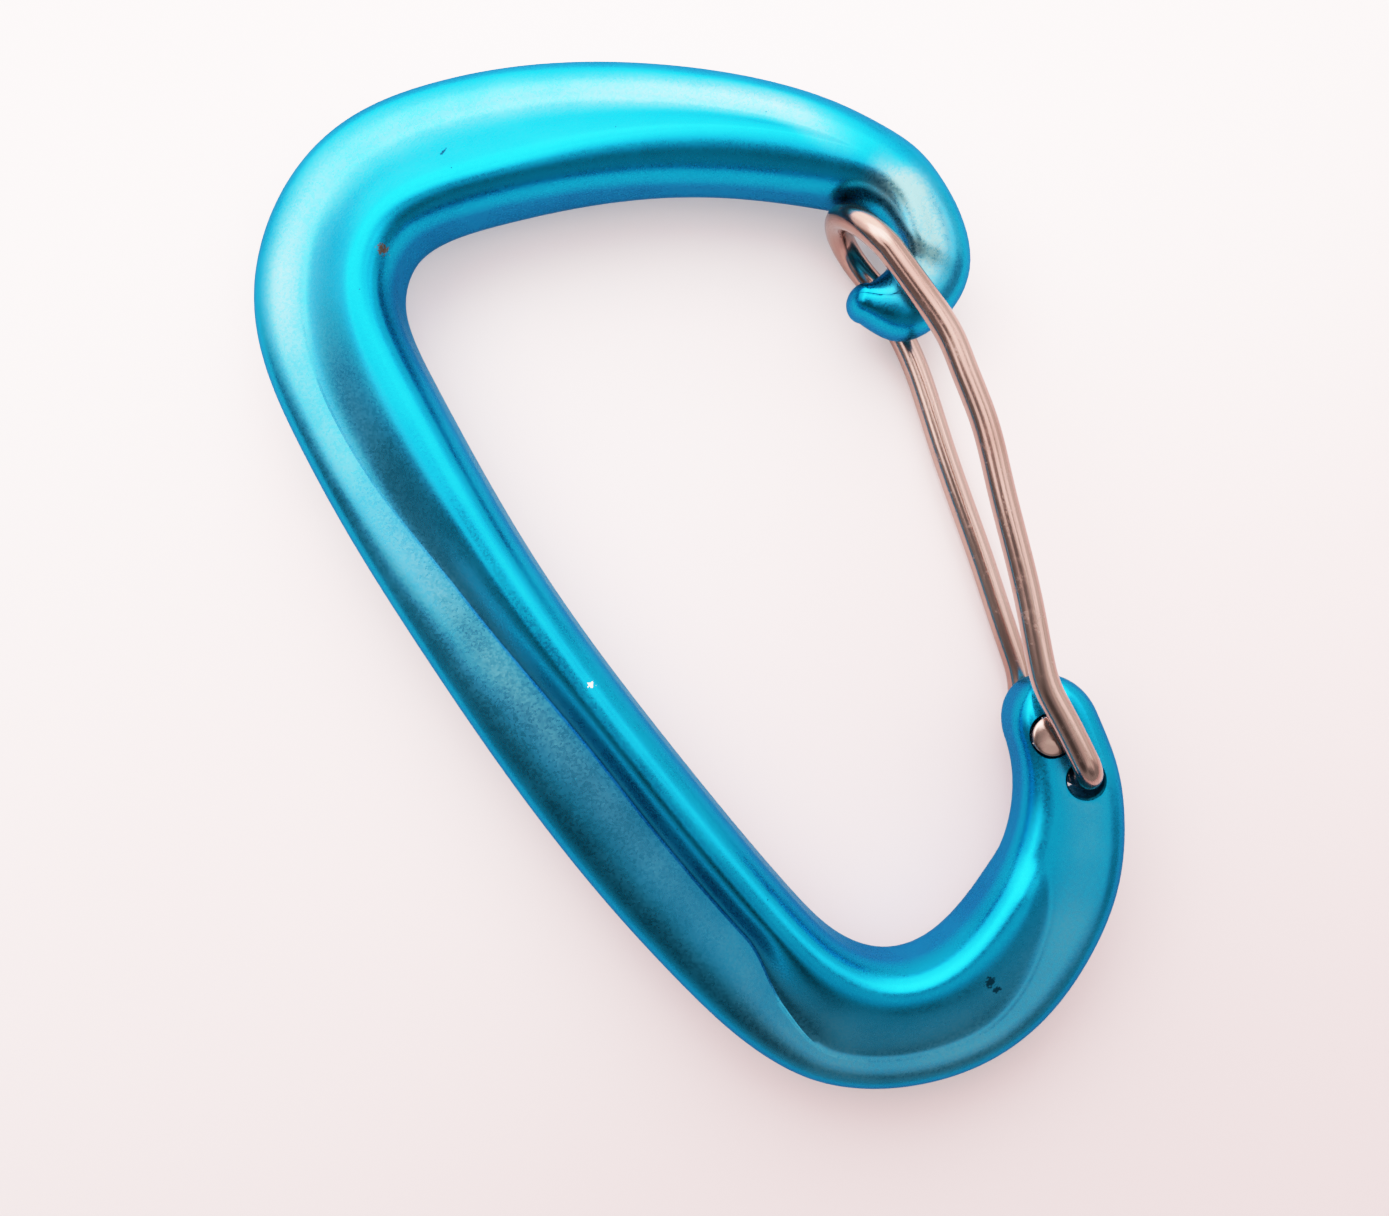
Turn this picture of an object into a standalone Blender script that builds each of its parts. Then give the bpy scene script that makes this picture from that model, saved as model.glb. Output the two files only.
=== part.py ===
"""Wiregate carabiner: a forged aluminium body and a sprung gate bent from one stainless wire.

The carabiner lies on its back face. X points to the gate side, Y runs along the spine to the
wide end with the nose, and Z is up. The origin is the bottom centre of the whole object.
The drawing below is in millimetres about the body's mid-plane; MM turns it into metres.
"""

from math import cos, pi, radians, sin

import bmesh
import bpy
import numpy as np
from mathutils import Vector

MM = 0.001

# Driving dimensions, in millimetres.
WIRE_RADIUS = 0.95
LEG_HEIGHT = 4.45  # height of each leg's centre line above or below the mid-plane
MID_Z = LEG_HEIGHT + WIRE_RADIUS  # height of the body's mid-plane over the ground
EAR_HALF = 3.0  # half thickness of the flat ear that holds the gate
RIB_HALF = 4.2  # half thickness at the crest of the rib that carries the rope

# The gate's two pivots sit apart in the ear, which is what springs the gate shut.
FRONT_PIVOT = Vector((10.1, -26.3))
BACK_PIVOT = Vector((9.6, -22.7))
FRONT_HOLE = Vector((9.95, -26.5))
BACK_HOLE = Vector((9.55, -22.65))
HOLE_RADIUS = 1.3
SINK_RADIUS = 1.6  # of the shallow sink round each riveted end, at the face
SINK_DEPTH = 0.5
APEX = Vector((17.0, 15.6))  # top of the gate's loop, where its two legs meet
LOOP_START = Vector((17.75, 11.3))  # where each leg starts to curve over into the loop
SEAM_GAP = 0.3

# One row per station round the body, from the nose to the ear, in the plane of the body:
# outer x, y and inner x, y, then the section there, measured in from the edges:
# edge    width of the rounding at the outer edge
# rim     half thickness of the flat rim inside that rounding
# crease  how far in the rim ends and the flank of the rib starts
# crest   how far out from the inner edge the rib is highest
# top     half thickness at that crest
# shelf   width of the rounding at the inner edge
# fall    how far that rounding comes down from the top
# bite    how sharply the crease is cut, from 0 for a smooth change to 1
STATIONS = (
    (14.5, 8.7, 16.3, 10.6, 1.25, 2.25, 1.3, 1.1, 2.3, 1.0, 2.1, 0),
    (16.1, 6.1, 17.5, 10.7, 2.4, 2.7, 2.5, 2.0, 2.75, 1.9, 2.5, 0),
    (20.9, 6.1, 18.7, 11.5, 2.8, 3.05, 2.9, 2.1, 3.1, 1.9, 2.6, 0),
    (23.0, 7.8, 18.9, 12.6, 2.8, 3.55, 2.9, 2.3, 3.6, 2.1, 2.8, 0),
    (24.4, 14.1, 18.9, 14.5, 2.6, 3.9, 2.7, 2.4, 3.9, 2.2, 3.0, 0),
    (24.0, 16.8, 18.5, 15.6, 2.8, 4.0, 2.9, 2.4, 4.0, 2.2, 3.1, 0),
    (23.0, 19.1, 17.7, 16.5, 3.0, 4.1, 3.1, 2.5, 4.1, 2.3, 3.2, 0),
    (18.2, 26.0, 12.6, 20.8, 3.1, 3.6, 3.2, 2.9, RIB_HALF, 2.7, 3.4, 0),
    (8.4, 34.1, 4.9, 25.6, 3.0, 3.0, 3.2, 2.6, RIB_HALF, 2.3, 3.2, 0),
    (-2.4, 39.2, -3.2, 28.9, 3.0, 2.5, 3.3, 2.2, RIB_HALF, 1.9, 2.9, 0),
    (-12.0, 39.7, -9.6, 29.9, 3.0, 2.4, 3.5, 2.2, RIB_HALF, 1.9, 2.8, 0),
    (-16.5, 37.6, -11.4, 28.8, 3.0, 2.4, 3.6, 2.2, RIB_HALF, 1.9, 2.8, 0),
    (-20.4, 33.9, -12.5, 27.2, 3.0, 2.4, 3.9, 2.2, RIB_HALF, 1.9, 2.8, 0.3),
    (-23.8, 22.9, -13.5, 21.4, 2.8, 2.4, 3.4, 2.3, RIB_HALF, 1.9, 2.8, 1),
    (-24.4, 6.9, -14.2, 6.9, 3.6, 2.4, 4.8, 2.3, RIB_HALF, 1.9, 2.8, 1),
    (-23.7, -9.6, -13.2, -9.1, 4.2, 2.4, 6.1, 2.2, RIB_HALF, 1.9, 2.8, 1),
    (-21.5, -24.2, -11.5, -22.6, 3.9, 2.4, 5.8, 2.2, RIB_HALF, 1.9, 2.8, 1),
    (-19.8, -30.2, -10.5, -26.9, 2.8, 2.4, 3.9, 2.2, RIB_HALF, 1.9, 2.8, 0.8),
    (-17.0, -35.0, -9.0, -29.4, 2.1, 2.4, 2.6, 2.1, RIB_HALF, 1.9, 2.8, 0.5),
    (-6.9, -40.1, -4.7, -31.1, 2.1, 2.5, 2.6, 2.0, 4.1, 1.8, 2.8, 0.4),
    (3.7, -37.9, 0.8, -29.5, 2.3, 2.8, 4.2, 2.0, 3.7, 1.8, 2.5, 0.4),
    (8.6, -34.3, 3.4, -28.0, 2.3, EAR_HALF, 5.4, 2.0, EAR_HALF, 1.9, 2.2, 0),
    (11.4, -30.5, 5.3, -26.2, 2.2, EAR_HALF, 4.8, 2.0, EAR_HALF, 1.9, 2.1, 0),
    (12.9, -27.0, 6.7, -24.1, 2.0, EAR_HALF, 4.4, 1.7, EAR_HALF, 1.6, 2.0, 0),
    (13.6, -23.4, 7.4, -22.3, 1.8, EAR_HALF, 4.0, 1.6, EAR_HALF, 1.5, 1.9, 0),
)
NOSE_CAP = 1.3  # how far the rounded tip of the nose stands out past the first station
EAR_CAP = 3.9  # the same for the rounded top of the ear, past the last station

RING_SPACING = 1.7
EDGE_STEPS = 4
RIM_STEPS = 2
FLANK_STEPS = 4
INNER_STEPS = 4
CAP_STEPS = 5
NOSE_FULLNESS = 2  # superellipse power of a cap's height along its length
EAR_FULLNESS = 3
SMOOTH_ANGLE = 35  # in degrees, between facets that belong to one round surface
HOLE_SIDES = 28
ROUNDNESS = 2.3  # superellipse power of the rounded edges, where 2 is a plain ellipse
CREASE_WIDTH = 0.15
CREASE_DIP = 0.06  # depth of the crease, as a share of the rib's height over the rim
FLANK_START = 0.5  # slope of the rib's flank at the crease, as a share of its mean slope


def curved_slopes(knots, values):
    """Slopes of the natural cubic spline through the values."""
    count = len(knots)
    step = np.diff(knots)
    rise = np.diff(values) / step
    matrix = np.zeros((count, count))
    right = np.zeros(count)
    matrix[0, :2] = 2, 1
    matrix[-1, -2:] = 1, 2
    right[0] = 3 * rise[0]
    right[-1] = 3 * rise[-1]
    for i in range(1, count - 1):
        matrix[i, i - 1:i + 2] = step[i], 2 * (step[i - 1] + step[i]), step[i - 1]
        right[i] = 3 * (step[i] * rise[i - 1] + step[i - 1] * rise[i])
    return np.linalg.solve(matrix, right)


def steady_slopes(knots, values):
    """Slopes that never overshoot, so that a size that stays the same stays exactly the same."""
    rise = np.diff(values) / np.diff(knots)
    slopes = np.zeros(len(knots))
    same_way = rise[:-1] * rise[1:] > 0
    inner = slopes[1:-1]
    inner[same_way] = 2 * rise[:-1][same_way] * rise[1:][same_way] / (rise[:-1] + rise[1:])[same_way]
    slopes[0] = rise[0]
    slopes[-1] = rise[-1]
    return slopes


def follow(knots, values, slopes, places):
    """Values of the cubic curve with these slopes at the given places."""
    left = np.clip(np.searchsorted(knots, places, side="right") - 1, 0, len(knots) - 2)
    step = knots[left + 1] - knots[left]
    s = (places - knots[left]) / step
    return ((2 * s**3 - 3 * s**2 + 1) * values[left] + (s**3 - 2 * s**2 + s) * step * slopes[left]
            + (3 * s**2 - 2 * s**3) * values[left + 1] + (s**3 - s**2) * step * slopes[left + 1])


def half_section(width, edge, rim, crease, crest, top, shelf, fall, bite):
    """(distance in from the outer edge, half thickness) from the outer edge to the inner one."""
    points = []
    power = 2 / ROUNDNESS
    for i in range(EDGE_STEPS):
        turn = pi / 2 * i / EDGE_STEPS
        points.append((edge * (1 - cos(turn)**power), rim * sin(turn)**power))
    for i in range(RIM_STEPS + 1):
        points.append((edge + (crease - edge) * i / RIM_STEPS, rim))
    start = crease + CREASE_WIDTH
    foot = rim - CREASE_DIP * bite * (top - rim)
    crest_at = width - crest
    for i in range(FLANK_STEPS):
        s = i / FLANK_STEPS
        climb = FLANK_START * bite * (s**3 - 2 * s**2 + s) + 3 * s**2 - 2 * s**3
        points.append((start + (crest_at - start) * s, foot + (top - foot) * climb))
    points.append((crest_at, top))
    for i in range(INNER_STEPS + 1):
        turn = pi / 2 * i / INNER_STEPS
        points.append((width - shelf * (1 - sin(turn)), top - fall * (1 - cos(turn))))
    points.append((width, 0.0))
    return points


def ring(outer, inner, half):
    """A closed section: up and over the front from the outer edge, and back along the rear."""
    across = (inner - outer).normalized()
    loop = half + [(u, -z) for u, z in reversed(half[1:-1])]
    return [Vector((*(outer + across * u), z)) for u, z in loop]


def cap_rings(section, length, way, fullness):
    """Smaller and smaller sections that close an end, and the point that they close on."""
    centre = Vector(((section[0] + section[len(section) // 2]) / 2))
    across = section[len(section) // 2] - section[0]
    forward = Vector((-across.y, across.x, 0)).normalized() * way
    rings = []
    for i in range(1, CAP_STEPS):
        reach = sin(pi / 2 * i / CAP_STEPS)
        narrow = (1 - reach**2)**0.5
        thin = (1 - reach**fullness)**(1 / fullness)
        rings.append([centre + forward * length * reach
                      + Vector((narrow * (p - centre).x, narrow * (p - centre).y, thin * p.z))
                      for p in section])
    return rings, centre + forward * length


def body_mesh():
    table = np.array(STATIONS)
    middles = (table[:, 0:2] + table[:, 2:4]) / 2
    knots = np.concatenate(([0], np.cumsum(np.linalg.norm(np.diff(middles, axis=0), axis=1))))
    places = np.linspace(0, knots[-1], round(knots[-1] / RING_SPACING))
    columns = [follow(knots, column, (curved_slopes if i < 4 else steady_slopes)(knots, column), places)
               for i, column in enumerate(table.T)]
    rings = []
    for row in zip(*columns):
        outer, inner = Vector(row[0:2]), Vector(row[2:4])
        rings.append(ring(outer, inner, half_section((inner - outer).length, *row[4:])))
    nose_rings, nose_tip = cap_rings(rings[0], NOSE_CAP, 1, NOSE_FULLNESS)
    ear_rings, ear_tip = cap_rings(rings[-1], EAR_CAP, -1, EAR_FULLNESS)
    rings = nose_rings[::-1] + rings + ear_rings

    mesh = bmesh.new()
    loops = [[mesh.verts.new(p * MM) for p in section] for section in rings]
    for one, two in zip(loops, loops[1:]):
        for i in range(len(one)):
            j = (i + 1) % len(one)
            mesh.faces.new((one[i], one[j], two[j], two[i]))
    for loop, tip in ((loops[0], nose_tip), (loops[-1], ear_tip)):
        end = mesh.verts.new(tip * MM)
        for i in range(len(loop)):
            mesh.faces.new((loop[i], loop[(i + 1) % len(loop)], end))
    bmesh.ops.recalc_face_normals(mesh, faces=mesh.faces)
    data = bpy.data.meshes.new("body")
    mesh.to_mesh(data)
    mesh.free()
    return data


def material(name, colour, metallic, roughness):
    made = bpy.data.materials.new(name)
    made.use_nodes = True
    shader = made.node_tree.nodes["Principled BSDF"]
    shader.inputs["Base Color"].default_value = (*colour, 1)
    shader.inputs["Metallic"].default_value = metallic
    shader.inputs["Roughness"].default_value = roughness
    made.diffuse_color = (*colour, 1)
    return made


def add(name, data, parent=None, location=(0, 0, 0)):
    made = bpy.data.objects.new(name, data)
    made.location = Vector(location) * MM
    made.parent = parent
    bpy.context.scene.collection.objects.link(made)
    return made


def cutter(name, centre, low, high, low_radius, high_radius):
    mesh = bmesh.new()
    bmesh.ops.create_cone(mesh, cap_ends=True, segments=HOLE_SIDES, radius1=low_radius * MM,
                          radius2=high_radius * MM, depth=(high - low) * MM)
    data = bpy.data.meshes.new(name)
    mesh.to_mesh(data)
    mesh.free()
    made = add(name, data, location=(*centre, MID_Z + (low + high) / 2))
    made.hide_render = True
    made.display_type = "WIRE"
    return made


def pivot_cutters():
    """A hole through the ear for each leg, sunk on the face where the leg's end is riveted over."""
    past = EAR_HALF + 1
    floor = EAR_HALF - SINK_DEPTH
    slope = (SINK_RADIUS - HOLE_RADIUS) / SINK_DEPTH
    spread = SINK_RADIUS + slope * (past - EAR_HALF)
    return [
        cutter("front_hole_cutter", FRONT_HOLE, -past, past, HOLE_RADIUS, HOLE_RADIUS),
        cutter("back_hole_cutter", BACK_HOLE, -past, past, HOLE_RADIUS, HOLE_RADIUS),
        cutter("front_sink_cutter", FRONT_HOLE, -past, -floor, spread, HOLE_RADIUS),
        cutter("back_sink_cutter", BACK_HOLE, floor, past, HOLE_RADIUS, spread),
    ]


def make_body(finish):
    made = add("body", body_mesh(), location=(0, 0, MID_Z))
    made.data.materials.append(finish)
    made.data.shade_smooth()
    made.data.set_sharp_from_angle(angle=radians(SMOOTH_ANGLE))
    for tool in pivot_cutters():
        cut = made.modifiers.new(tool.name, "BOOLEAN")
        cut.operation = "DIFFERENCE"
        cut.solver = "EXACT"
        cut.object = tool


# Each leg's way from the top of its bend over the pivot to the start of the loop.
FRONT_LEG = ((10.4, -23.6), (10.6, -21.4), (10.8, -19.4), (11.4, -17.5), (12.9, -13.7), (15.5, -6.0),
             (16.8, -2.1), (17.6, 1.8), (18.0, 4.0), (18.0, 7.0))
BACK_LEG = ((10.4, -21.2), (11.3, -19.5), (12.0, -17.1), (13.6, -10.7), (15.6, -2.1), (16.6, 1.7),
            (17.3, 4.8), (17.6, 7.4))
BEND_RADIUS = 1.5  # of the wire's centre line, where it turns down into its hole
# Height and swell of the riveted end, which is flattened over the ear's face.
HEAD = ((2.2, 1.0), (2.85, 1.08), (3.06, 1.45), (3.2, 1.4), (3.32, 0.8))
LEG_SPACING = 1.5
BEND_STEPS = 4
LOOP_STEPS = 8
WIRE_ROUNDING = 3  # how finely the wire's round is divided


def leg_path(pivot, leg):
    """Centre line and relative thickness of a leg from its riveted end to the seam in the loop.

    It is drawn as the front leg, whose riveted end comes out of the back face."""
    points = [(Vector((*pivot, -z)), swell) for z, swell in reversed(HEAD)]
    points += [(Vector((*pivot, z)), 1.0) for z in (0.0, LEG_HEIGHT - BEND_RADIUS)]
    away = (Vector(leg[0]) - pivot).normalized()
    for i in range(1, BEND_STEPS + 1):
        turn = pi / 2 * i / BEND_STEPS
        flat = pivot + away * BEND_RADIUS * (1 - cos(turn))
        points.append((Vector((*flat, LEG_HEIGHT - BEND_RADIUS * (1 - sin(turn)))), 1.0))

    table = np.array([points[-1][0][:2], *leg, LOOP_START])
    knots = np.concatenate(([0], np.cumsum(np.linalg.norm(np.diff(table, axis=0), axis=1))))
    places = np.linspace(0, knots[-1], round(knots[-1] / LEG_SPACING))[1:]
    route = [follow(knots, column, curved_slopes(knots, column), places) for column in table.T]
    points += [(Vector((x, y, LEG_HEIGHT)), 1.0) for x, y in zip(*route)]

    rise = APEX - LOOP_START
    for i in range(1, LOOP_STEPS + 1):
        turn = pi / 2 * i / LOOP_STEPS
        height = max(LEG_HEIGHT * cos(turn), SEAM_GAP / 2)
        points.append((Vector((*(LOOP_START + rise * sin(turn)), height)), 1.0))
    return points


def make_leg(name, path, finish, axis_empty):
    """A wire along the path, as the child of the empty on its joint's axis."""
    data = bpy.data.curves.new(name, "CURVE")
    data.dimensions = "3D"
    data.bevel_depth = WIRE_RADIUS * MM
    data.bevel_resolution = WIRE_ROUNDING
    data.use_fill_caps = True
    line = data.splines.new("POLY")
    line.points.add(len(path) - 1)
    base = axis_empty.matrix_world.translation
    for point, (place, swell) in zip(line.points, path):
        world = (place + Vector((0, 0, MID_Z))) * MM
        point.co = (*(world - base), 1)
        point.radius = swell
    data.materials.append(finish)
    add(name, data, axis_empty)


def flipped(path):
    return [(Vector((p.x, p.y, -p.z)), swell) for p, swell in path]


def main():
    for old in list(bpy.data.objects):
        bpy.data.objects.remove(old)

    anodised = material("blue_anodised_aluminium", (0.02, 0.45, 0.62), 1.0, 0.32)
    stainless = material("polished_stainless_wire", (0.62, 0.55, 0.52), 1.0, 0.18)
    make_body(anodised)

    hinge_axis = add("gate_hinge_axis", None, location=(*FRONT_PIVOT, MID_Z))
    flex_axis = add("gate_flex_axis", None, hinge_axis, location=(*(APEX - FRONT_PIVOT), 0))
    bpy.context.view_layer.update()
    make_leg("gate_wire_front", leg_path(FRONT_PIVOT, FRONT_LEG), stainless, hinge_axis)
    make_leg("gate_wire_back", flipped(leg_path(BACK_PIVOT, BACK_LEG)), stainless, flex_axis)


main()
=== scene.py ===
"""Looks of the wiregate carabiner: an anodised forged body and a gate bent from polished wire.

Lengths are in millimetres about the mid-plane of the body until a mesh is made, as in the design.
X points to the gate side, Y runs along the spine to the wide end with the nose, and Z is up.
"""

from math import cos, pi, radians, sin

import bmesh
import bpy
import numpy as np
from mathutils import Matrix, Vector


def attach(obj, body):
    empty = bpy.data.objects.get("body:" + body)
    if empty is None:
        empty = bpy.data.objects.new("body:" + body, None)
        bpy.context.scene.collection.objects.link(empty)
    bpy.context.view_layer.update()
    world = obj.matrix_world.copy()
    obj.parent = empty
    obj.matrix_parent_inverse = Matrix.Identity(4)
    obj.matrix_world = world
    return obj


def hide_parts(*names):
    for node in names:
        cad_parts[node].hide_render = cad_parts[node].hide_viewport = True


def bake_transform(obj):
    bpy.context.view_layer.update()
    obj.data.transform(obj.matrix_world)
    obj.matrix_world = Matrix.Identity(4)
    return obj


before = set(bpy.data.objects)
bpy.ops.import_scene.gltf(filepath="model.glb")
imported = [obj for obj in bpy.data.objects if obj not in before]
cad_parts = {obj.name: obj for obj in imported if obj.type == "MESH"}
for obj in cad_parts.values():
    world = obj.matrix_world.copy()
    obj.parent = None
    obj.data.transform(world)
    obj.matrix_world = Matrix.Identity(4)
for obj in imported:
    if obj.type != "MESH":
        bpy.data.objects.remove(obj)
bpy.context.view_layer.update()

MM = 0.001
SEED = 7

# The design's driving dimensions.
MID_Z = 5.4
LEG_HEIGHT = 4.43
WIRE_RADIUS = 0.94
EAR_HALF = 3.0
RIB_HALF = 4.2
FRONT_PIVOT = Vector((10.1, -26.3))
BACK_PIVOT = Vector((9.6, -22.7))
FRONT_HOLE = Vector((9.95, -26.5))
BACK_HOLE = Vector((9.55, -22.65))
HOLE_RADIUS = 1.3
SINK_RADIUS = 1.6
SINK_DEPTH = 0.5
HOLE_EASE = 0.14
CUTTER_OVERSHOOT = 1
APEX = Vector((17.0, 15.6))
LOOP_START = Vector((17.75, 11.3))
BEND_RADIUS = 1.5

# Stations round the body, from the tip of the nose to the top of the ear. Each has the place of
# the outer edge (x, y), the place of the inner edge (x, y), and then the sizes of its section:
# edge    width of the rounding at the outer edge
# rim     half thickness of the flat rim
# crease  how far in the rim ends and the flank of the rib starts
# crest   how far out from the inner edge the rib is highest
# top     half thickness at that crest
# shelf   width of the rounding at the inner edge
# fall    how far that rounding comes down from the top
# bite    how sharply the crease is cut, from 0 for a smooth change to 1
STATIONS = (
    (14.5, 8.7, 16.3, 10.6, 1.25, 2.25, 1.3, 1.1, 2.3, 1.0, 2.1, 0),
    (16.1, 6.1, 17.5, 10.7, 2.4, 2.7, 2.5, 2.0, 2.75, 1.9, 2.5, 0),
    (20.9, 6.1, 18.7, 11.5, 2.8, 3.05, 2.9, 2.1, 3.1, 1.9, 2.6, 0),
    (23.0, 7.8, 18.9, 12.6, 2.8, 3.55, 2.9, 2.3, 3.6, 2.1, 2.8, 0),
    (24.4, 14.1, 18.9, 14.5, 2.6, 3.9, 2.7, 2.4, 3.9, 2.2, 3.0, 0),
    (24.0, 16.8, 18.5, 15.6, 2.8, 4.0, 2.9, 2.4, 4.0, 2.2, 3.1, 0),
    (23.0, 19.1, 17.7, 16.5, 3.0, 4.1, 3.1, 2.5, 4.1, 2.3, 3.2, 0),
    (18.2, 26.0, 12.6, 20.8, 3.1, 3.6, 3.2, 2.9, RIB_HALF, 2.7, 3.4, 0),
    (8.4, 34.1, 4.9, 25.6, 3.0, 3.0, 3.2, 2.6, RIB_HALF, 2.3, 3.2, 0),
    (-2.4, 39.2, -3.2, 28.9, 3.0, 2.5, 3.3, 2.2, RIB_HALF, 1.9, 2.9, 0),
    (-12.0, 39.7, -9.6, 29.9, 3.0, 2.4, 3.5, 2.2, RIB_HALF, 1.9, 2.8, 0),
    (-16.5, 37.6, -11.4, 28.8, 3.0, 2.4, 3.6, 2.2, RIB_HALF, 1.9, 2.8, 0),
    (-20.4, 33.9, -12.5, 27.2, 3.0, 2.4, 3.9, 2.2, RIB_HALF, 1.9, 2.8, 0.3),
    (-23.8, 22.9, -13.5, 21.4, 2.8, 2.4, 3.4, 2.3, RIB_HALF, 1.9, 2.8, 1),
    (-24.4, 6.9, -14.2, 6.9, 3.6, 2.4, 4.8, 2.3, RIB_HALF, 1.9, 2.8, 1),
    (-23.7, -9.6, -13.2, -9.1, 4.2, 2.4, 6.1, 2.2, RIB_HALF, 1.9, 2.8, 1),
    (-21.5, -24.2, -11.5, -22.6, 3.9, 2.4, 5.8, 2.2, RIB_HALF, 1.9, 2.8, 1),
    (-19.8, -30.2, -10.5, -26.9, 2.8, 2.4, 3.9, 2.2, RIB_HALF, 1.9, 2.8, 0.8),
    (-17.0, -35.0, -9.0, -29.4, 2.1, 2.4, 2.6, 2.1, RIB_HALF, 1.9, 2.8, 0.5),
    (-6.9, -40.1, -4.7, -31.1, 2.1, 2.5, 2.6, 2.0, 4.1, 1.8, 2.8, 0.4),
    (3.7, -37.9, 0.8, -29.5, 2.3, 2.8, 4.2, 2.0, 3.7, 1.8, 2.5, 0.4),
    (8.6, -34.3, 3.4, -28.0, 2.3, EAR_HALF, 5.4, 2.0, EAR_HALF, 1.9, 2.2, 0),
    (11.4, -30.5, 5.3, -26.2, 2.2, EAR_HALF, 4.8, 2.0, EAR_HALF, 1.9, 2.1, 0),
    (12.9, -27.0, 6.7, -24.1, 2.0, EAR_HALF, 4.4, 1.7, EAR_HALF, 1.6, 2.0, 0),
    (13.6, -23.4, 7.4, -22.3, 1.8, EAR_HALF, 4.0, 1.6, EAR_HALF, 1.5, 1.9, 0),
)
# Where the anodising is paler at each station: how much in a soft band, the middle and half
# width of that band as shares of the body's width from its outer edge, and how much outside
# the rib's crest.
PALE_BANDS = (
    (0.0, 0.60, 0.35, 0.0), (0.1, 0.62, 0.35, 0.0), (0.9, 0.60, 0.38, 0.1), (1.3, 0.60, 0.38, 0.1),
    (1.3, 0.62, 0.36, 0.1), (0.5, 0.68, 0.28, 0.0), (0.0, 0.60, 0.30, 0.0), (0.6, 0.34, 0.20, 0.0),
    (0.35, 0.34, 0.20, 0.03), (0.2, 0.32, 0.20, 0.08), (0.1, 0.30, 0.20, 0.16), (0.25, 0.28, 0.18, 0.2),
    (0.4, 0.27, 0.18, 0.22), (0.15, 0.24, 0.16, 0.18), (0.25, 0.36, 0.18, 0.16), (0.2, 0.46, 0.20, 0.08),
    (0.1, 0.46, 0.20, 0.08), (0.15, 0.24, 0.20, 0.16), (0.1, 0.20, 0.20, 0.2), (0.1, 0.20, 0.20, 0.2),
    (0.15, 0.30, 0.25, 0.1), (0.1, 0.40, 0.30, 0.02), (0.12, 0.45, 0.25, 0.02), (0.2, 0.50, 0.25, 0.02),
    (0.05, 0.50, 0.25, 0.0),
)
NOSE_CAP = 1.3  # how far the tip of the nose stands out past the first station
EAR_CAP = 3.9  # the same for the top of the ear, past the last station
NOSE_FULLNESS = 2  # superellipse power of a cap's height along its length
EAR_FULLNESS = 3
INSET = 0.03  # keeps the round outline inside the design's faceted one

RING_SPACING = 0.4
EDGE_STEPS = 12
RIM_STEPS = 6
FLANK_STEPS = 14
CREST_STEPS = 4
INNER_STEPS = 14
WALL_STEPS = 4
CAP_STEPS = 16
BODY_SMOOTH_ANGLE = radians(32)  # edges sharper than this stay crisp
END_SMOOTH_ANGLE = radians(40)
HOLE_SIDES = 72
ROUNDNESS = 2.3  # superellipse power of the rounding at the outer edge, where 2 is a plain ellipse
CREASE_WIDTH = 0.15
CREASE_DIP = 0.06  # depth of the crease, as a share of the rib's height over the rim
FLANK_START = 0.5  # slope of the rib's flank at the crease, as a share of its mean slope
CREST_SHARE = 0.75  # the paler wash lies outside this share of the width from the outer edge
WASH_FADE_IN = 0.25  # and fades over these shares at its inner side and at the outer edge
WASH_FADE_OUT = 0.2

# Each leg's way from the top of its bend over the pivot to the start of the loop.
FRONT_LEG = ((10.4, -23.6), (10.6, -21.4), (10.8, -19.4), (11.4, -17.5), (12.9, -13.7), (15.5, -6.0),
             (16.8, -2.1), (17.6, 1.8), (18.0, 4.0), (18.0, 7.0))
BACK_LEG = ((10.4, -21.2), (11.3, -19.5), (12.0, -17.1), (13.6, -10.7), (15.6, -2.1), (16.6, 1.7),
            (17.3, 4.8), (17.6, 7.4))
WIRE_SPACING = 0.22
WIRE_SIDES = 40
WIRE_SEAM = (0.3, 0.9, 0.1)  # any way that is not along the start of the wire
MARK_LENGTH = 0.1  # how fast the draw lines' pattern runs along the wire, per millimetre
STUB_TOP = 1.9  # height inside its hole where each riveted end takes over from the wire
STUB_GAP = 0.25  # space left between the two, out of sight in the hole
# A riveted end, as (radius, height), from inside the hole to under the head's rim.
END_PROFILE = ((WIRE_RADIUS, STUB_TOP - STUB_GAP), (WIRE_RADIUS, 0), (WIRE_RADIUS, -1.4), (1.0, -2.4),
               (1.04, -2.85), (1.2, -2.98), (1.34, -3.04))
HEAD_RADIUS = 1.4
HEAD_RIM = 3.08  # height of the head's widest ring
HEAD_HEIGHT = 3.36
HEAD_STEPS = 9
HEAD_SINK = 0.1  # the hammer reaches this far below the ear's face
BLOWS = 6
BLOW_TILT = (0.05, 0.2)
BLOW_DEPTH = (0.02, 0.07)
BLOW_OFFSET = 0.5  # how far from the middle a blow lands

# The camera looks straight down, turned about Z, over a point left of the middle.
VIEW_TURN = radians(-32.5)
VIEW_CENTRE = Vector((-6.4, -2.1))
VIEW_HEIGHT = 85.7
LENS = 31.25
NEAREST_SEEN = 0.005  # in metres
PICTURE_RIGHT = Vector((cos(VIEW_TURN), sin(VIEW_TURN), 0))
PICTURE_UP = Vector((-sin(VIEW_TURN), cos(VIEW_TURN), 0))

# The anodising, from its ground colour to its paler wash, and its tint at grazing angles.
DEEP_BLUE = (0.0006, 0.23, 0.42, 1)
BLUE = (0.0016, 0.275, 0.49, 1)
LIGHT_BLUE = (0.002, 0.31, 0.53, 1)
PALE_BLUE = (0.19, 0.37, 0.40, 1)
EDGE_BLUE = (0.02, 0.38, 0.58, 1)
SPECK = (0.002, 0.02, 0.035, 1)

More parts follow.
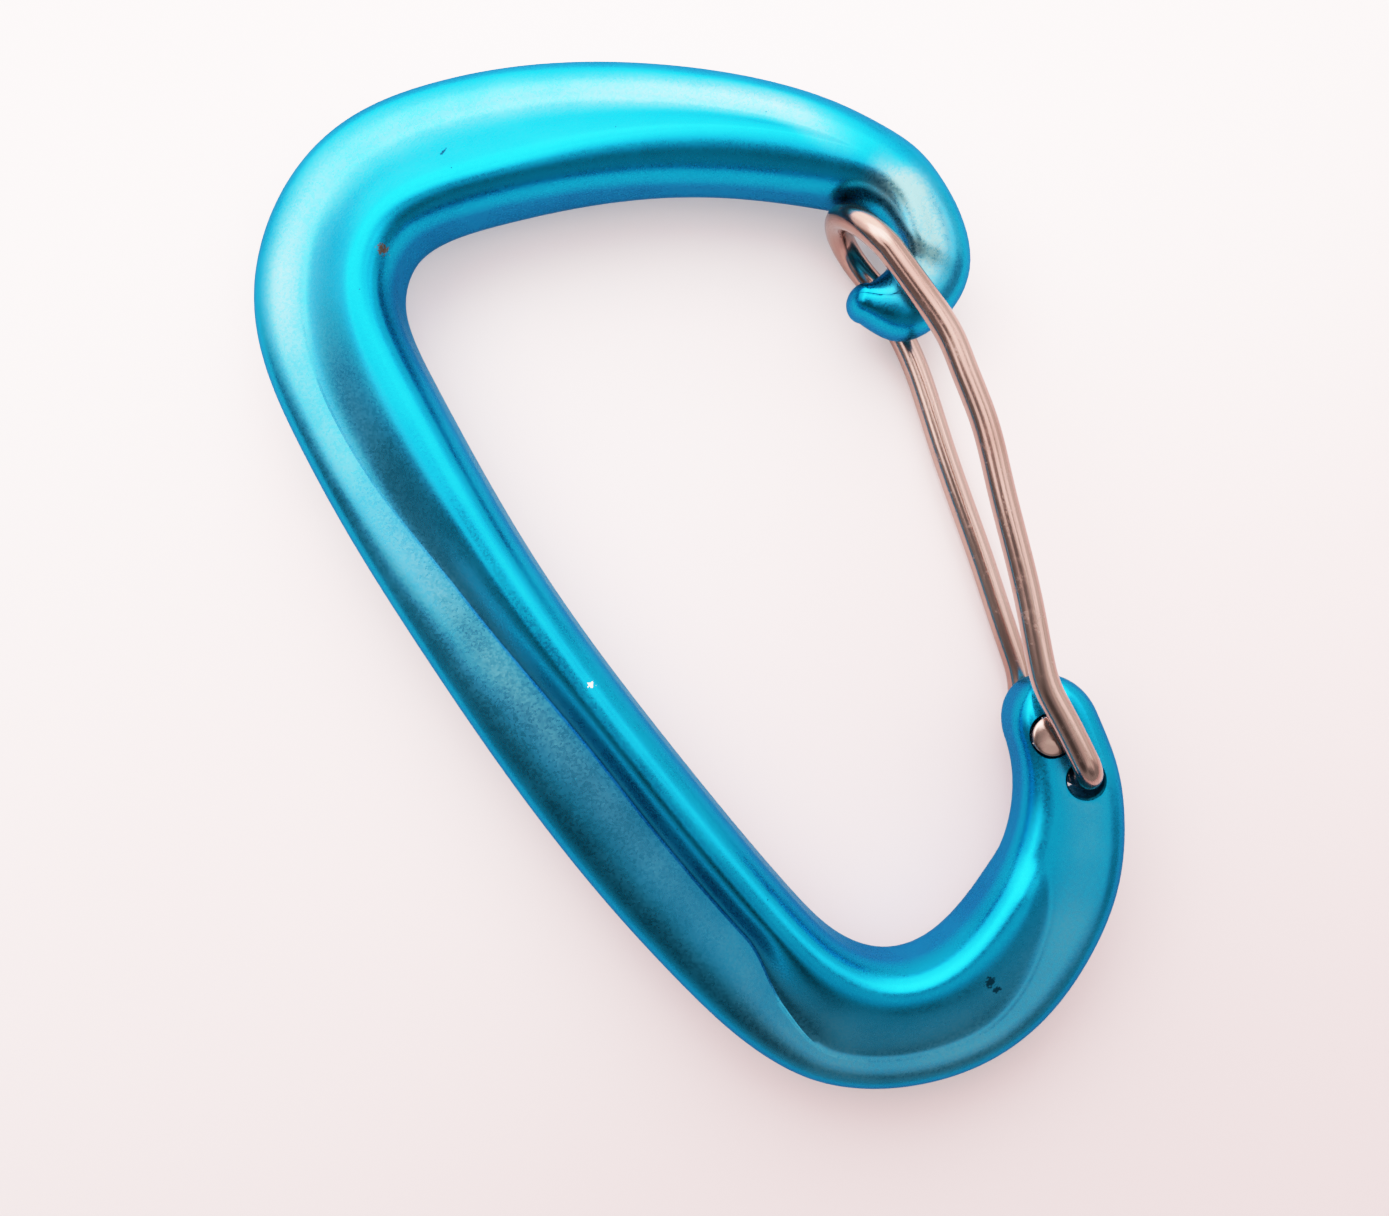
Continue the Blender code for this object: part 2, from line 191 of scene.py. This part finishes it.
# Marks of use on the body: x, y, radius in millimetres and colour.
PIT = (0.003, 0.05, 0.09, 1)
BROWN = (0.12, 0.09, 0.07, 1)
BARE = (0.8, 0.8, 0.76, 1)
MARKS = ((-3.1, -34.4, 0.3, PIT), (-3.0, -35.3, 0.2, PIT), (-4.1, 33.3, 0.12, PIT),
         (-11.2, 29.9, 0.25, BROWN), (-15.1, -2.7, 0.12, BARE))
MARK_RAG = 0.9  # how unevenly their outlines run, in millimetres
MARK_SOFTNESS = 0.1

# The wire's own tone with a painted pink reflection of its surroundings, its lighter patches and its draw
# lines.
STEEL_WITH_PAINTED_PINK = (0.34, 0.195, 0.165, 1)
LIGHT_STEEL_WITH_PAINTED_PINK = (0.46, 0.30, 0.26, 1)
DRAW_LINE = (0.17, 0.085, 0.07, 1)

# The paper, where its painted light is brightest and where its painted shade is darkest.
PAPER_PAINTED_LIT = (0.86, 0.72, 0.71, 1)
PAPER_PAINTED_SHADE = (0.60, 0.42, 0.425, 1)
PAPER_GLOW = (1.0, 0.90, 0.90, 1)

# The room's light, from the picture's right, its top and towards the camera, with how many degrees
# each lobe is even over and how many it reaches. A glow adds light, and a dim takes a share away.
LIGHT_COLOUR = (1.0, 0.975, 0.965)
ROOM_LEVEL = 0.5
GLOWS = ((-0.5, 0.78, 0.37, 38, 65, 4.1), (0.42, -0.33, 0.84, 5, 31, 0.9), (0.8, 0.6, 0.2, 15, 50, 1.1))
DIMS = ((-0.45, -0.62, 0.62, 8, 30, 0.8), (0.38, -0.68, 0.67, 8, 24, 0.6), (-1, 0.1, 0.1, 5, 50, 0.5),
        (-0.42, -0.02, 0.9, 5, 22, 0.6))

# The softboxes: middle and size to the picture's right and up, in millimetres, and brightness.
SOFTBOXES = ((-8, 82, 128, 84, 2.7), (106, 50, 84, 110, 1.7), (-76, 24, 66, 80, 2.3),
             (-16, 30, 50, 20, 2.3), (29, 22, 40, 36, 2.5))
SOFTBOX_HEIGHT = 92

FLOOR_REACH = 1.5  # in metres

# How bright a light is shown, up to the light that is shown as white.
TONES = ((0.2, 0.2), (0.4, 0.4), (0.7, 0.6), (1.0, 0.755), (1.5, 0.88), (2.1, 0.955))
TONE_WHITE = 3.2


# ---------------------------------------------------------------------------- curves

def curved_slopes(knots, values):
    """Slopes of the natural cubic spline through the values."""
    count = len(knots)
    step = np.diff(knots)
    rise = np.diff(values) / step
    matrix = np.zeros((count, count))
    right = np.zeros(count)
    matrix[0, :2] = 2, 1
    matrix[-1, -2:] = 1, 2
    right[0] = 3 * rise[0]
    right[-1] = 3 * rise[-1]
    for i in range(1, count - 1):
        matrix[i, i - 1:i + 2] = step[i], 2 * (step[i - 1] + step[i]), step[i - 1]
        right[i] = 3 * (step[i] * rise[i - 1] + step[i - 1] * rise[i])
    return np.linalg.solve(matrix, right)


def steady_slopes(knots, values):
    """Slopes that never overshoot, so that a size that stays the same stays exactly the same."""
    rise = np.diff(values) / np.diff(knots)
    slopes = np.zeros(len(knots))
    same_way = rise[:-1] * rise[1:] > 0
    inner = slopes[1:-1]
    inner[same_way] = 2 * rise[:-1][same_way] * rise[1:][same_way] / (rise[:-1] + rise[1:])[same_way]
    slopes[0] = rise[0]
    slopes[-1] = rise[-1]
    return slopes


def follow(knots, values, slopes, places):
    """Values of the cubic curve with these slopes at the given places."""
    left = np.clip(np.searchsorted(knots, places, side="right") - 1, 0, len(knots) - 2)
    step = knots[left + 1] - knots[left]
    s = (places - knots[left]) / step
    return ((2 * s**3 - 3 * s**2 + 1) * values[left] + (s**3 - 2 * s**2 + s) * step * slopes[left]
            + (3 * s**2 - 2 * s**3) * values[left + 1] + (s**3 - s**2) * step * slopes[left + 1])


def arc_knots(points):
    return np.concatenate(([0], np.cumsum(np.linalg.norm(np.diff(points, axis=0), axis=1))))


# ---------------------------------------------------------------------------- meshes

def half_section(width, edge, rim, crease, crest, top, shelf, fall, bite):
    """(distance in from the outer edge, half thickness) from the outer edge to the inner one."""
    points = []
    power = 2 / ROUNDNESS
    for i in range(EDGE_STEPS):
        turn = pi / 2 * i / EDGE_STEPS
        points.append((edge * (1 - cos(turn)**power), rim * sin(turn)**power))
    for i in range(RIM_STEPS + 1):
        points.append((edge + (crease - edge) * i / RIM_STEPS, rim))
    start = crease + CREASE_WIDTH
    foot = rim - CREASE_DIP * bite * (top - rim)
    crest_at = width - crest
    for i in range(FLANK_STEPS):
        s = i / FLANK_STEPS
        climb = FLANK_START * bite * (s**3 - 2 * s**2 + s) + 3 * s**2 - 2 * s**3
        points.append((start + (crest_at - start) * s, foot + (top - foot) * climb))
    for i in range(CREST_STEPS):
        points.append((crest_at + (crest - shelf) * i / CREST_STEPS, top))
    for i in range(INNER_STEPS + 1):
        turn = pi / 2 * i / INNER_STEPS
        points.append((width - shelf * (1 - sin(turn)), top - fall * (1 - cos(turn))))
    for i in range(1, WALL_STEPS + 1):
        points.append((width, (top - fall) * (1 - i / WALL_STEPS)))
    return points


def ring(outer, inner, half):
    """A closed section: up and over the front from the outer edge, and back along the rear."""
    across = (inner - outer).normalized()
    loop = half + [(u, -z) for u, z in reversed(half[1:-1])]
    return np.array([(*(outer + across * u), z) for u, z in loop])


def pale_share(half, share, middle, reach, wash):
    """How pale the anodising is at each point of a section."""
    pales = []
    for u, _ in half:
        place = u / half[-1][0]
        near = max(0.0, 1 - abs(place - middle) / reach)
        outside = min(max((CREST_SHARE - place) / WASH_FADE_IN, 0.0), 1.0) * min(place / WASH_FADE_OUT, 1.0)
        pales.append(share * near**2 * (3 - 2 * near) + wash * outside)
    return pales + pales[-2:0:-1]


def cap_rings(section, length, way, fullness):
    """Smaller and smaller sections that close an end, and the point that they close on."""
    far = section[len(section) // 2]
    centre = (section[0] + far) / 2
    across = far - section[0]
    forward = np.array([-across[1], across[0], 0]) * way / np.hypot(*across[:2])
    rings = []
    for i in range(1, CAP_STEPS):
        reach = sin(pi / 2 * i / CAP_STEPS)
        flat = (1 - reach**2)**0.5
        scale = np.array([flat, flat, (1 - reach**fullness)**(1 / fullness)])
        rings.append(centre + forward * length * reach + (section - centre) * scale)
    return rings, centre + forward * length


def tube_mesh(name, rings, tips):
    """A closed mesh through the rings, with a point at each end."""
    count = len(rings[0])
    points = np.concatenate([*rings, *[np.atleast_2d(tip) for tip in tips]])
    faces = []
    for r in range(len(rings) - 1):
        low = r * count
        faces += [(low + i, low + (i + 1) % count, low + count + (i + 1) % count, low + count + i)
                  for i in range(count)]
    last = (len(rings) - 1) * count
    faces += [((i + 1) % count, i, len(points) - 2) for i in range(count)]
    faces += [(last + i, last + (i + 1) % count, len(points) - 1) for i in range(count)]
    mesh = bpy.data.meshes.new(name)
    mesh.from_pydata((points + (0, 0, MID_Z)) * MM, [], faces)
    shell = bmesh.new()
    shell.from_mesh(mesh)
    bmesh.ops.recalc_face_normals(shell, faces=shell.faces)
    shell.to_mesh(mesh)
    shell.free()
    mesh.shade_smooth()
    return mesh


def add(name, mesh):
    made = bpy.data.objects.new(name, mesh)
    bpy.context.scene.collection.objects.link(made)
    return made


def turned(name, centre, profile):
    """A closed turned solid about a vertical axis, from (radius, height) pairs, bottom to top."""
    turns = np.arange(HOLE_SIDES) * 2 * pi / HOLE_SIDES
    rings = [np.column_stack((centre.x + r * np.cos(turns), centre.y + r * np.sin(turns),
                              np.full(HOLE_SIDES, z))) for r, z in profile]
    ends = [np.array((centre.x, centre.y, profile[i][1])) for i in (0, -1)]
    return add(name, tube_mesh(name, rings, ends))


def drill(body):
    """The two holes, each sunk round the riveted end and eased at its other mouth."""
    past = EAR_HALF + CUTTER_OVERSHOOT
    slope = (SINK_RADIUS - HOLE_RADIUS) / SINK_DEPTH
    wide = [(HOLE_RADIUS, EAR_HALF - SINK_DEPTH), (SINK_RADIUS + slope * CUTTER_OVERSHOOT, past)]
    narrow = [(HOLE_RADIUS, EAR_HALF - HOLE_EASE), (HOLE_RADIUS + HOLE_EASE, EAR_HALF),
              (HOLE_RADIUS + CUTTER_OVERSHOOT, past)]

    def below(steps):
        return [(r, -z) for r, z in reversed(steps)]

    for centre, profile in ((FRONT_HOLE, below(wide) + narrow), (BACK_HOLE, below(narrow) + wide)):
        tool = turned("hole_cutter", centre, profile)
        cut = body.modifiers.new("hole", "BOOLEAN")
        cut.operation = "DIFFERENCE"
        cut.solver = "EXACT"
        cut.object = tool
        bpy.context.view_layer.update()
        drilled = bpy.data.meshes.new_from_object(body.evaluated_get(bpy.context.evaluated_depsgraph_get()))
        body.modifiers.clear()
        body.data = drilled
        bpy.data.objects.remove(tool)
    body.data.shade_smooth()
    body.data.set_sharp_from_angle(angle=BODY_SMOOTH_ANGLE)


def make_body():
    table = np.array(STATIONS)
    middles = (table[:, 0:2] + table[:, 2:4]) / 2
    knots = arc_knots(middles)
    places = np.linspace(0, knots[-1], round(knots[-1] / RING_SPACING))
    columns = [follow(knots, column, (curved_slopes if i < 4 else steady_slopes)(knots, column), places)
               for i, column in enumerate(table.T)]
    bands = [follow(knots, column, steady_slopes(knots, column), places)
             for column in np.array(PALE_BANDS).T]
    rings, pales = [], []
    for row, band in zip(zip(*columns), zip(*bands)):
        outer, inner = Vector(row[0:2]), Vector(row[2:4])
        outer += (inner - outer).normalized() * INSET
        half = half_section((inner - outer).length, *row[4:])
        rings.append(ring(outer, inner, half))
        pales.append(pale_share(half, *band))
    nose_rings, nose_tip = cap_rings(rings[0], NOSE_CAP - INSET, 1, NOSE_FULLNESS)
    ear_rings, ear_tip = cap_rings(rings[-1], EAR_CAP - INSET, -1, EAR_FULLNESS)
    mesh = tube_mesh("forged_body", nose_rings[::-1] + rings + ear_rings, [nose_tip, ear_tip])
    pales = np.concatenate([*[pales[0]] * len(nose_rings), *pales, *[pales[-1]] * len(ear_rings), [0, 0]])
    mesh.attributes.new("pale", "FLOAT", "POINT").data.foreach_set("value", pales)
    body = add("forged_body", mesh)
    drill(body)
    return body


def leg_route(pivot, leg):
    """Centre line of a leg from inside its hole to the top of the loop, drawn as the front leg."""
    away = (Vector(leg[0]) - pivot).normalized()
    bend_foot = LEG_HEIGHT - BEND_RADIUS
    points = [Vector((*pivot, z)) for z in np.arange(STUB_TOP, bend_foot, WIRE_SPACING)]
    bend_steps = round(pi / 2 * BEND_RADIUS / WIRE_SPACING)
    for i in range(bend_steps + 1):
        turn = pi / 2 * i / bend_steps
        flat = pivot + away * BEND_RADIUS * (1 - cos(turn))
        points.append(Vector((*flat, bend_foot + BEND_RADIUS * sin(turn))))

    table = np.array([points[-1][:2], *leg, LOOP_START])
    knots = arc_knots(table)
    places = np.linspace(0, knots[-1], round(knots[-1] / WIRE_SPACING))[1:]
    route = [follow(knots, column, curved_slopes(knots, column), places) for column in table.T]
    points += [Vector((x, y, LEG_HEIGHT)) for x, y in zip(*route)]

    loop_steps = round(pi / 2 * LEG_HEIGHT / WIRE_SPACING)
    for i in range(1, loop_steps + 1):
        turn = pi / 2 * i / loop_steps
        points.append(Vector((*(LOOP_START + (APEX - LOOP_START) * sin(turn)), LEG_HEIGHT * cos(turn))))
    return points


def sweep(name, route):
    """The round wire along the route, and an attribute that says where each point is on it."""
    points = np.array(route)
    ways = np.gradient(points, axis=0)
    ways /= np.linalg.norm(ways, axis=1)[:, None]
    side = np.cross(ways[0], WIRE_SEAM)
    turns = np.arange(WIRE_SIDES) * 2 * pi / WIRE_SIDES
    rings, marks = [], []
    for place, way, run in zip(points, ways, arc_knots(points)):
        side = side - way * side.dot(way)
        side /= np.linalg.norm(side)
        up = np.cross(way, side)
        rings.append(place + WIRE_RADIUS * (np.outer(np.cos(turns), side) + np.outer(np.sin(turns), up)))
        along = np.full(WIRE_SIDES, run * MARK_LENGTH)
        marks.append(np.column_stack((np.cos(turns), np.sin(turns), along)))
    mesh = tube_mesh(name, rings, [points[0], points[-1]])
    marks = np.concatenate([*marks, np.zeros((2, 3))])
    mesh.attributes.new("on_wire", "FLOAT_VECTOR", "POINT").data.foreach_set("vector", marks.ravel())
    return mesh


def make_gate():
    """The visible wire, whole, from inside the front leg's hole to inside the back leg's."""
    front = leg_route(FRONT_PIVOT, FRONT_LEG)
    back = [Vector((p.x, p.y, -p.z)) for p in leg_route(BACK_PIVOT, BACK_LEG)]
    return add("gate_wire", sweep("gate_wire", front + back[-2::-1]))


def make_riveted_end(name, pivot, way, rng):
    """The end of a leg inside its hole, hammered over into a low head with a few shallow flats."""
    profile = list(END_PROFILE)
    for i in range(HEAD_STEPS):
        turn = pi / 2 * i / HEAD_STEPS
        profile.append((HEAD_RADIUS * cos(turn), -HEAD_RIM - (HEAD_HEIGHT - HEAD_RIM) * sin(turn)))
    blows = [(rng.uniform(0, 2 * pi), rng.uniform(*BLOW_TILT), rng.uniform(*BLOW_DEPTH))
             for _ in range(BLOWS)]
    rings = []
    for r, z in profile:
        points = []
        for i in range(WIRE_SIDES):
            turn = 2 * pi * i / WIRE_SIDES
            x, y = r * cos(turn), r * sin(turn)
            level = z
            for heading, tilt, depth in blows:
                flat = -HEAD_HEIGHT + depth + tilt * (x * cos(heading) + y * sin(heading) - BLOW_OFFSET)
                level = max(level, flat) if z < -EAR_HALF + HEAD_SINK else level
            points.append((pivot.x + x, pivot.y + y, level * way))
        rings.append(np.array(points))
    tips = [np.array((pivot.x, pivot.y, profile[0][1] * way)),
            np.array((pivot.x, pivot.y, rings[-1][:, 2].mean()))]
    made = add(name, tube_mesh(name, rings, tips))
    made.data.set_sharp_from_angle(angle=END_SMOOTH_ANGLE)
    return made


# ---------------------------------------------------------------------------- materials

class Nodes:
    """Short names for building a node tree. Texture scales are per metre, and bumps in metres."""

    def __init__(self, tree):
        self.tree = tree

    def add(self, kind, inputs=None, **settings):
        node = self.tree.nodes.new(kind)
        for key, value in settings.items():
            setattr(node, key, value)
        for key, value in (inputs or {}).items():
            if isinstance(value, bpy.types.NodeSocket):
                self.tree.links.new(value, node.inputs[key])
            else:
                node.inputs[key].default_value = value
        return node

    def maths(self, operation, *values):
        return self.add("ShaderNodeMath", dict(enumerate(values)), operation=operation).outputs[0]

    def vectors(self, operation, one, two, output="Value"):
        return self.add("ShaderNodeVectorMath", {0: one, 1: two}, operation=operation).outputs[output]

    def ramp(self, value, low, high, to_low=0.0, to_high=1.0):
        """A smooth change from one level to another as the value goes from low to high."""
        node = self.add("ShaderNodeMapRange", {"Value": value, "From Min": low, "From Max": high,
                                               "To Min": to_low, "To Max": to_high},
                        interpolation_type="SMOOTHSTEP")
        return node.outputs["Result"]

    def noise(self, vector, scale, detail=2.0, roughness=0.5):
        node = self.add("ShaderNodeTexNoise", {"Vector": vector, "Scale": scale, "Detail": detail,
                                               "Roughness": roughness})
        return node.outputs["Fac"]

    def cells(self, vector, scale, output):
        return self.add("ShaderNodeTexVoronoi", {"Vector": vector, "Scale": scale}).outputs[output]

    def stretched(self, vector, scale):
        return self.add("ShaderNodeMapping", {"Vector": vector, "Scale": scale}).outputs["Vector"]

    def mix(self, factor, one, two):
        node = self.add("ShaderNodeMix", data_type="RGBA")
        for socket, value in ((node.inputs[0], factor), (node.inputs[6], one), (node.inputs[7], two)):
            if isinstance(value, bpy.types.NodeSocket):
                self.tree.links.new(value, socket)
            else:
                socket.default_value = value
        return node.outputs[2]

    def bump(self, height, strength, distance, normal=None):
        inputs = {"Height": height, "Strength": strength, "Distance": distance}
        if normal is not None:
            inputs["Normal"] = normal
        return self.add("ShaderNodeBump", inputs).outputs["Normal"]


def new_material(name):
    made = bpy.data.materials.new(name)
    made.use_nodes = True
    made.node_tree.nodes.clear()
    nodes = Nodes(made.node_tree)
    shader = nodes.add("ShaderNodeBsdfPrincipled")
    output = nodes.add("ShaderNodeOutputMaterial")
    made.node_tree.links.new(shader.outputs[0], output.inputs["Surface"])
    return made, nodes, shader


def anodised():
    """Blue anodising over bead-blasted aluminium: fine grain, soft blotches, specks and paler flats."""
    made, nodes, shader = new_material("blue_anodised")
    links = made.node_tree.links
    place = nodes.add("ShaderNodeTexCoord").outputs["Object"]
    pale = nodes.add("ShaderNodeAttribute", attribute_name="pale").outputs["Fac"]

    blotch = nodes.noise(place, 140, 3.0, 0.6)
    grain = nodes.noise(place, 4200, 2.0, 0.6)
    cell = nodes.add("ShaderNodeSeparateColor", {"Color": nodes.cells(place, 6500, "Color")}).outputs[0]
    speck = nodes.cells(place, 420, "Distance")
    speck_size = nodes.ramp(nodes.noise(place, 60, 1.0), 0.62, 0.8, 0.0, 0.16)
    speck = nodes.ramp(nodes.maths("SUBTRACT", speck, speck_size), 0.0, 0.03, 1, 0)

    colour = nodes.mix(nodes.ramp(blotch, 0.3, 0.7), DEEP_BLUE, BLUE)
    colour = nodes.mix(nodes.ramp(grain, 0.3, 0.75, 0.0, 0.25), colour, LIGHT_BLUE)
    haze = nodes.maths("MULTIPLY", pale, nodes.ramp(blotch, 0.25, 0.75, 0.6, 1.2))
    haze = nodes.maths("MULTIPLY", haze, nodes.ramp(cell, 0, 1, 0.75, 1.2))
    colour = nodes.mix(haze, colour, PALE_BLUE)
    colour = nodes.mix(speck, colour, SPECK)
    flat = nodes.vectors("MULTIPLY", place, (1, 1, 0), "Vector")
    ragged = nodes.maths("MULTIPLY_ADD", nodes.noise(place, 4500), MARK_RAG * MM, -MARK_RAG / 2 * MM)
    for x, y, radius, tint in MARKS:
        off = nodes.maths("ADD", nodes.vectors("DISTANCE", flat, (x * MM, y * MM, 0)), ragged)
        colour = nodes.mix(nodes.ramp(off, radius * MM, (radius + MARK_SOFTNESS) * MM, 1, 0), colour, tint)
    links.new(colour, shader.inputs["Base Color"])

    rough = nodes.ramp(blotch, 0.3, 0.75, 0.25, 0.33)
    rough = nodes.maths("ADD", rough, nodes.ramp(cell, 0, 1, -0.03, 0.05))
    links.new(rough, shader.inputs["Roughness"])
    normal = nodes.bump(grain, 0.15, 0.00003)
    normal = nodes.bump(cell, 0.05, 0.00002, normal)
    normal = nodes.bump(speck, 0.5, -0.00006, normal)
    links.new(normal, shader.inputs["Normal"])
    shader.inputs["Metallic"].default_value = 1.0
    shader.inputs["Specular Tint"].default_value = EDGE_BLUE
    shader.inputs["Coat Weight"].default_value = 0.06
    shader.inputs["Coat Roughness"].default_value = 0.35
    return made


def stainless():
    """Polished drawn wire: long fine draw lines, a few scuffs across them, and a painted pink reflection.
    """
    made, nodes, shader = new_material("polished_wire")
    links = made.node_tree.links
    on_wire = nodes.add("ShaderNodeAttribute", attribute_name="on_wire").outputs["Vector"]
    place = nodes.add("ShaderNodeTexCoord").outputs["Object"]

    lines = nodes.noise(nodes.stretched(on_wire, (9, 9, 1.2)), 2.2, 3.0, 0.65)
    scuffs = nodes.noise(place, 900, 3.0, 0.7)
    tone = nodes.noise(place, 90, 2.0)
    # the rosy steel colours are partly the wire's own tone and partly a painted reflection of the pink room
    colour = nodes.mix(nodes.ramp(tone, 0.3, 0.7), STEEL_WITH_PAINTED_PINK, LIGHT_STEEL_WITH_PAINTED_PINK)
    colour = nodes.mix(nodes.ramp(lines, 0.35, 0.6, 0.22, 0.0), colour, DRAW_LINE)
    links.new(colour, shader.inputs["Base Color"])
    rough = nodes.ramp(lines, 0.3, 0.7, 0.22, 0.14)
    rough = nodes.maths("ADD", rough, nodes.ramp(scuffs, 0.5, 0.75, 0, 0.14))
    links.new(rough, shader.inputs["Roughness"])
    normal = nodes.bump(lines, 0.09, 0.00003)
    normal = nodes.bump(scuffs, 0.1, 0.00001, normal)
    links.new(normal, shader.inputs["Normal"])
    shader.inputs["Metallic"].default_value = 1.0
    return made


def paper():
    """The pale matt paper under the carabiner, with painted shade: darker and pinker to the picture's lower
    right.
    """
    made, nodes, shader = new_material("pale_paper")
    place = nodes.add("ShaderNodeTexCoord").outputs["Object"]
    # painted light and shade: the paper is lighter towards the lamps at the picture's upper left and darker
    # away from them
    away = nodes.vectors("DOT_PRODUCT", place, PICTURE_RIGHT * 0.35 - PICTURE_UP)
    away = nodes.maths("ADD", away, nodes.ramp(nodes.noise(place, 12, 2.0), 0.3, 0.7, -0.006, 0.006))
    colour = nodes.mix(nodes.ramp(away, -0.05, 0.08), PAPER_PAINTED_LIT, PAPER_PAINTED_SHADE)
    made.node_tree.links.new(colour, shader.inputs["Base Color"])
    shader.inputs["Roughness"].default_value = 0.7
    shader.inputs["Specular IOR Level"].default_value = 0.2
    shader.inputs["Emission Color"].default_value = PAPER_GLOW
    shader.inputs["Emission Strength"].default_value = 0.22
    return made


# ---------------------------------------------------------------------------- the studio

def direction(right, up, height):
    """A unit direction from parts to the picture's right, to its top, and towards the camera."""
    return (PICTURE_RIGHT * right + PICTURE_UP * up + Vector((0, 0, height))).normalized()


def make_world():
    """A plain studio: a dim room with soft glows, the broadest at the picture's upper left."""
    world = bpy.data.worlds.new("room")
    bpy.context.scene.world = world
    world.use_nodes = True
    world.node_tree.nodes.clear()
    nodes = Nodes(world.node_tree)
    way = nodes.add("ShaderNodeTexCoord").outputs["Generated"]

    def lobe(right, up, height, core, reach):
        """1 within core degrees of the direction, fading to 0 at reach degrees."""
        near = nodes.vectors("DOT_PRODUCT", way, direction(right, up, height))
        return nodes.ramp(near, cos(radians(reach)), cos(radians(core)))

    level = ROOM_LEVEL
    for *where, gain in GLOWS:
        level = nodes.maths("MULTIPLY_ADD", lobe(*where), gain, level)
    for *where, share in DIMS:
        level = nodes.maths("MULTIPLY", level, nodes.maths("MULTIPLY_ADD", lobe(*where), -share, 1.0))
    light = nodes.add("ShaderNodeBackground", {"Color": (*LIGHT_COLOUR, 1), "Strength": level})
    output = nodes.add("ShaderNodeOutputWorld")
    world.node_tree.links.new(light.outputs[0], output.inputs["Surface"])


def make_softboxes():
    """Soft lamps over the object, a little higher than the camera, which doesn't see them."""
    for right, up, width, length, level in SOFTBOXES:
        data = bpy.data.lights.new("softbox", "AREA")
        data.shape = "RECTANGLE"
        data.size, data.size_y = width * MM, length * MM
        data.energy = level * pi * data.size * data.size_y
        data.color = LIGHT_COLOUR
        lamp = bpy.data.objects.new("softbox", data)
        bpy.context.scene.collection.objects.link(lamp)
        lamp.visible_camera = False
        place = Vector((*VIEW_CENTRE, MID_Z + SOFTBOX_HEIGHT)) + PICTURE_RIGHT * right + PICTURE_UP * up
        lamp.matrix_world = Matrix.Translation(place * MM) @ Matrix.Rotation(VIEW_TURN, 4, "Z")


def make_floor():
    """A square of paper that goes well past the picture."""
    mesh = bpy.data.meshes.new("floor")
    corners = [(x * FLOOR_REACH, y * FLOOR_REACH, 0) for x, y in ((-1, -1), (1, -1), (1, 1), (-1, 1))]
    mesh.from_pydata(corners, [], [(0, 1, 2, 3)])
    floor = add("floor", mesh)
    floor.data.materials.append(paper())


def make_camera():
    data = bpy.data.cameras.new("camera")
    data.lens = LENS
    data.clip_start = NEAREST_SEEN
    camera = bpy.data.objects.new("camera", data)
    bpy.context.scene.collection.objects.link(camera)
    place = Vector((*VIEW_CENTRE, MID_Z + VIEW_HEIGHT)) * MM
    camera.matrix_world = Matrix.Translation(place) @ Matrix.Rotation(VIEW_TURN, 4, "Z")
    bpy.context.scene.camera = camera


def set_tones():
    """A soft shoulder, as a camera has: bright light is held back below white."""
    view = bpy.context.scene.view_settings
    view.view_transform = "Standard"
    view.use_curve_mapping = True
    tones = view.curve_mapping
    tones.white_level = (TONE_WHITE,) * 3
    tones.extend = "HORIZONTAL"
    curve = tones.curves[3]
    for light, shown in TONES:
        curve.points.new(light / TONE_WHITE, shown)
    tones.update()


def main():
    make_camera()
    make_world()
    make_softboxes()
    make_floor()
    set_tones()

    blue = anodised()
    steel = stainless()
    rng = np.random.default_rng(SEED)

    body = make_body()
    body.data.materials.clear()
    body.data.materials.append(blue)
    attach(body, "body")
    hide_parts("body")

    for name, pivot, way, rides in (("front_riveted_end", FRONT_PIVOT, 1, "gate_front"),
                                    ("back_riveted_end", BACK_PIVOT, -1, "gate_back")):
        end = make_riveted_end(name, pivot, way, rng)
        end.data.materials.append(steel)
        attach(end, rides)

    gate = make_gate()
    gate.data.materials.append(steel)
    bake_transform(gate)
    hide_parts("gate_wire_front", "gate_wire_back")


main()
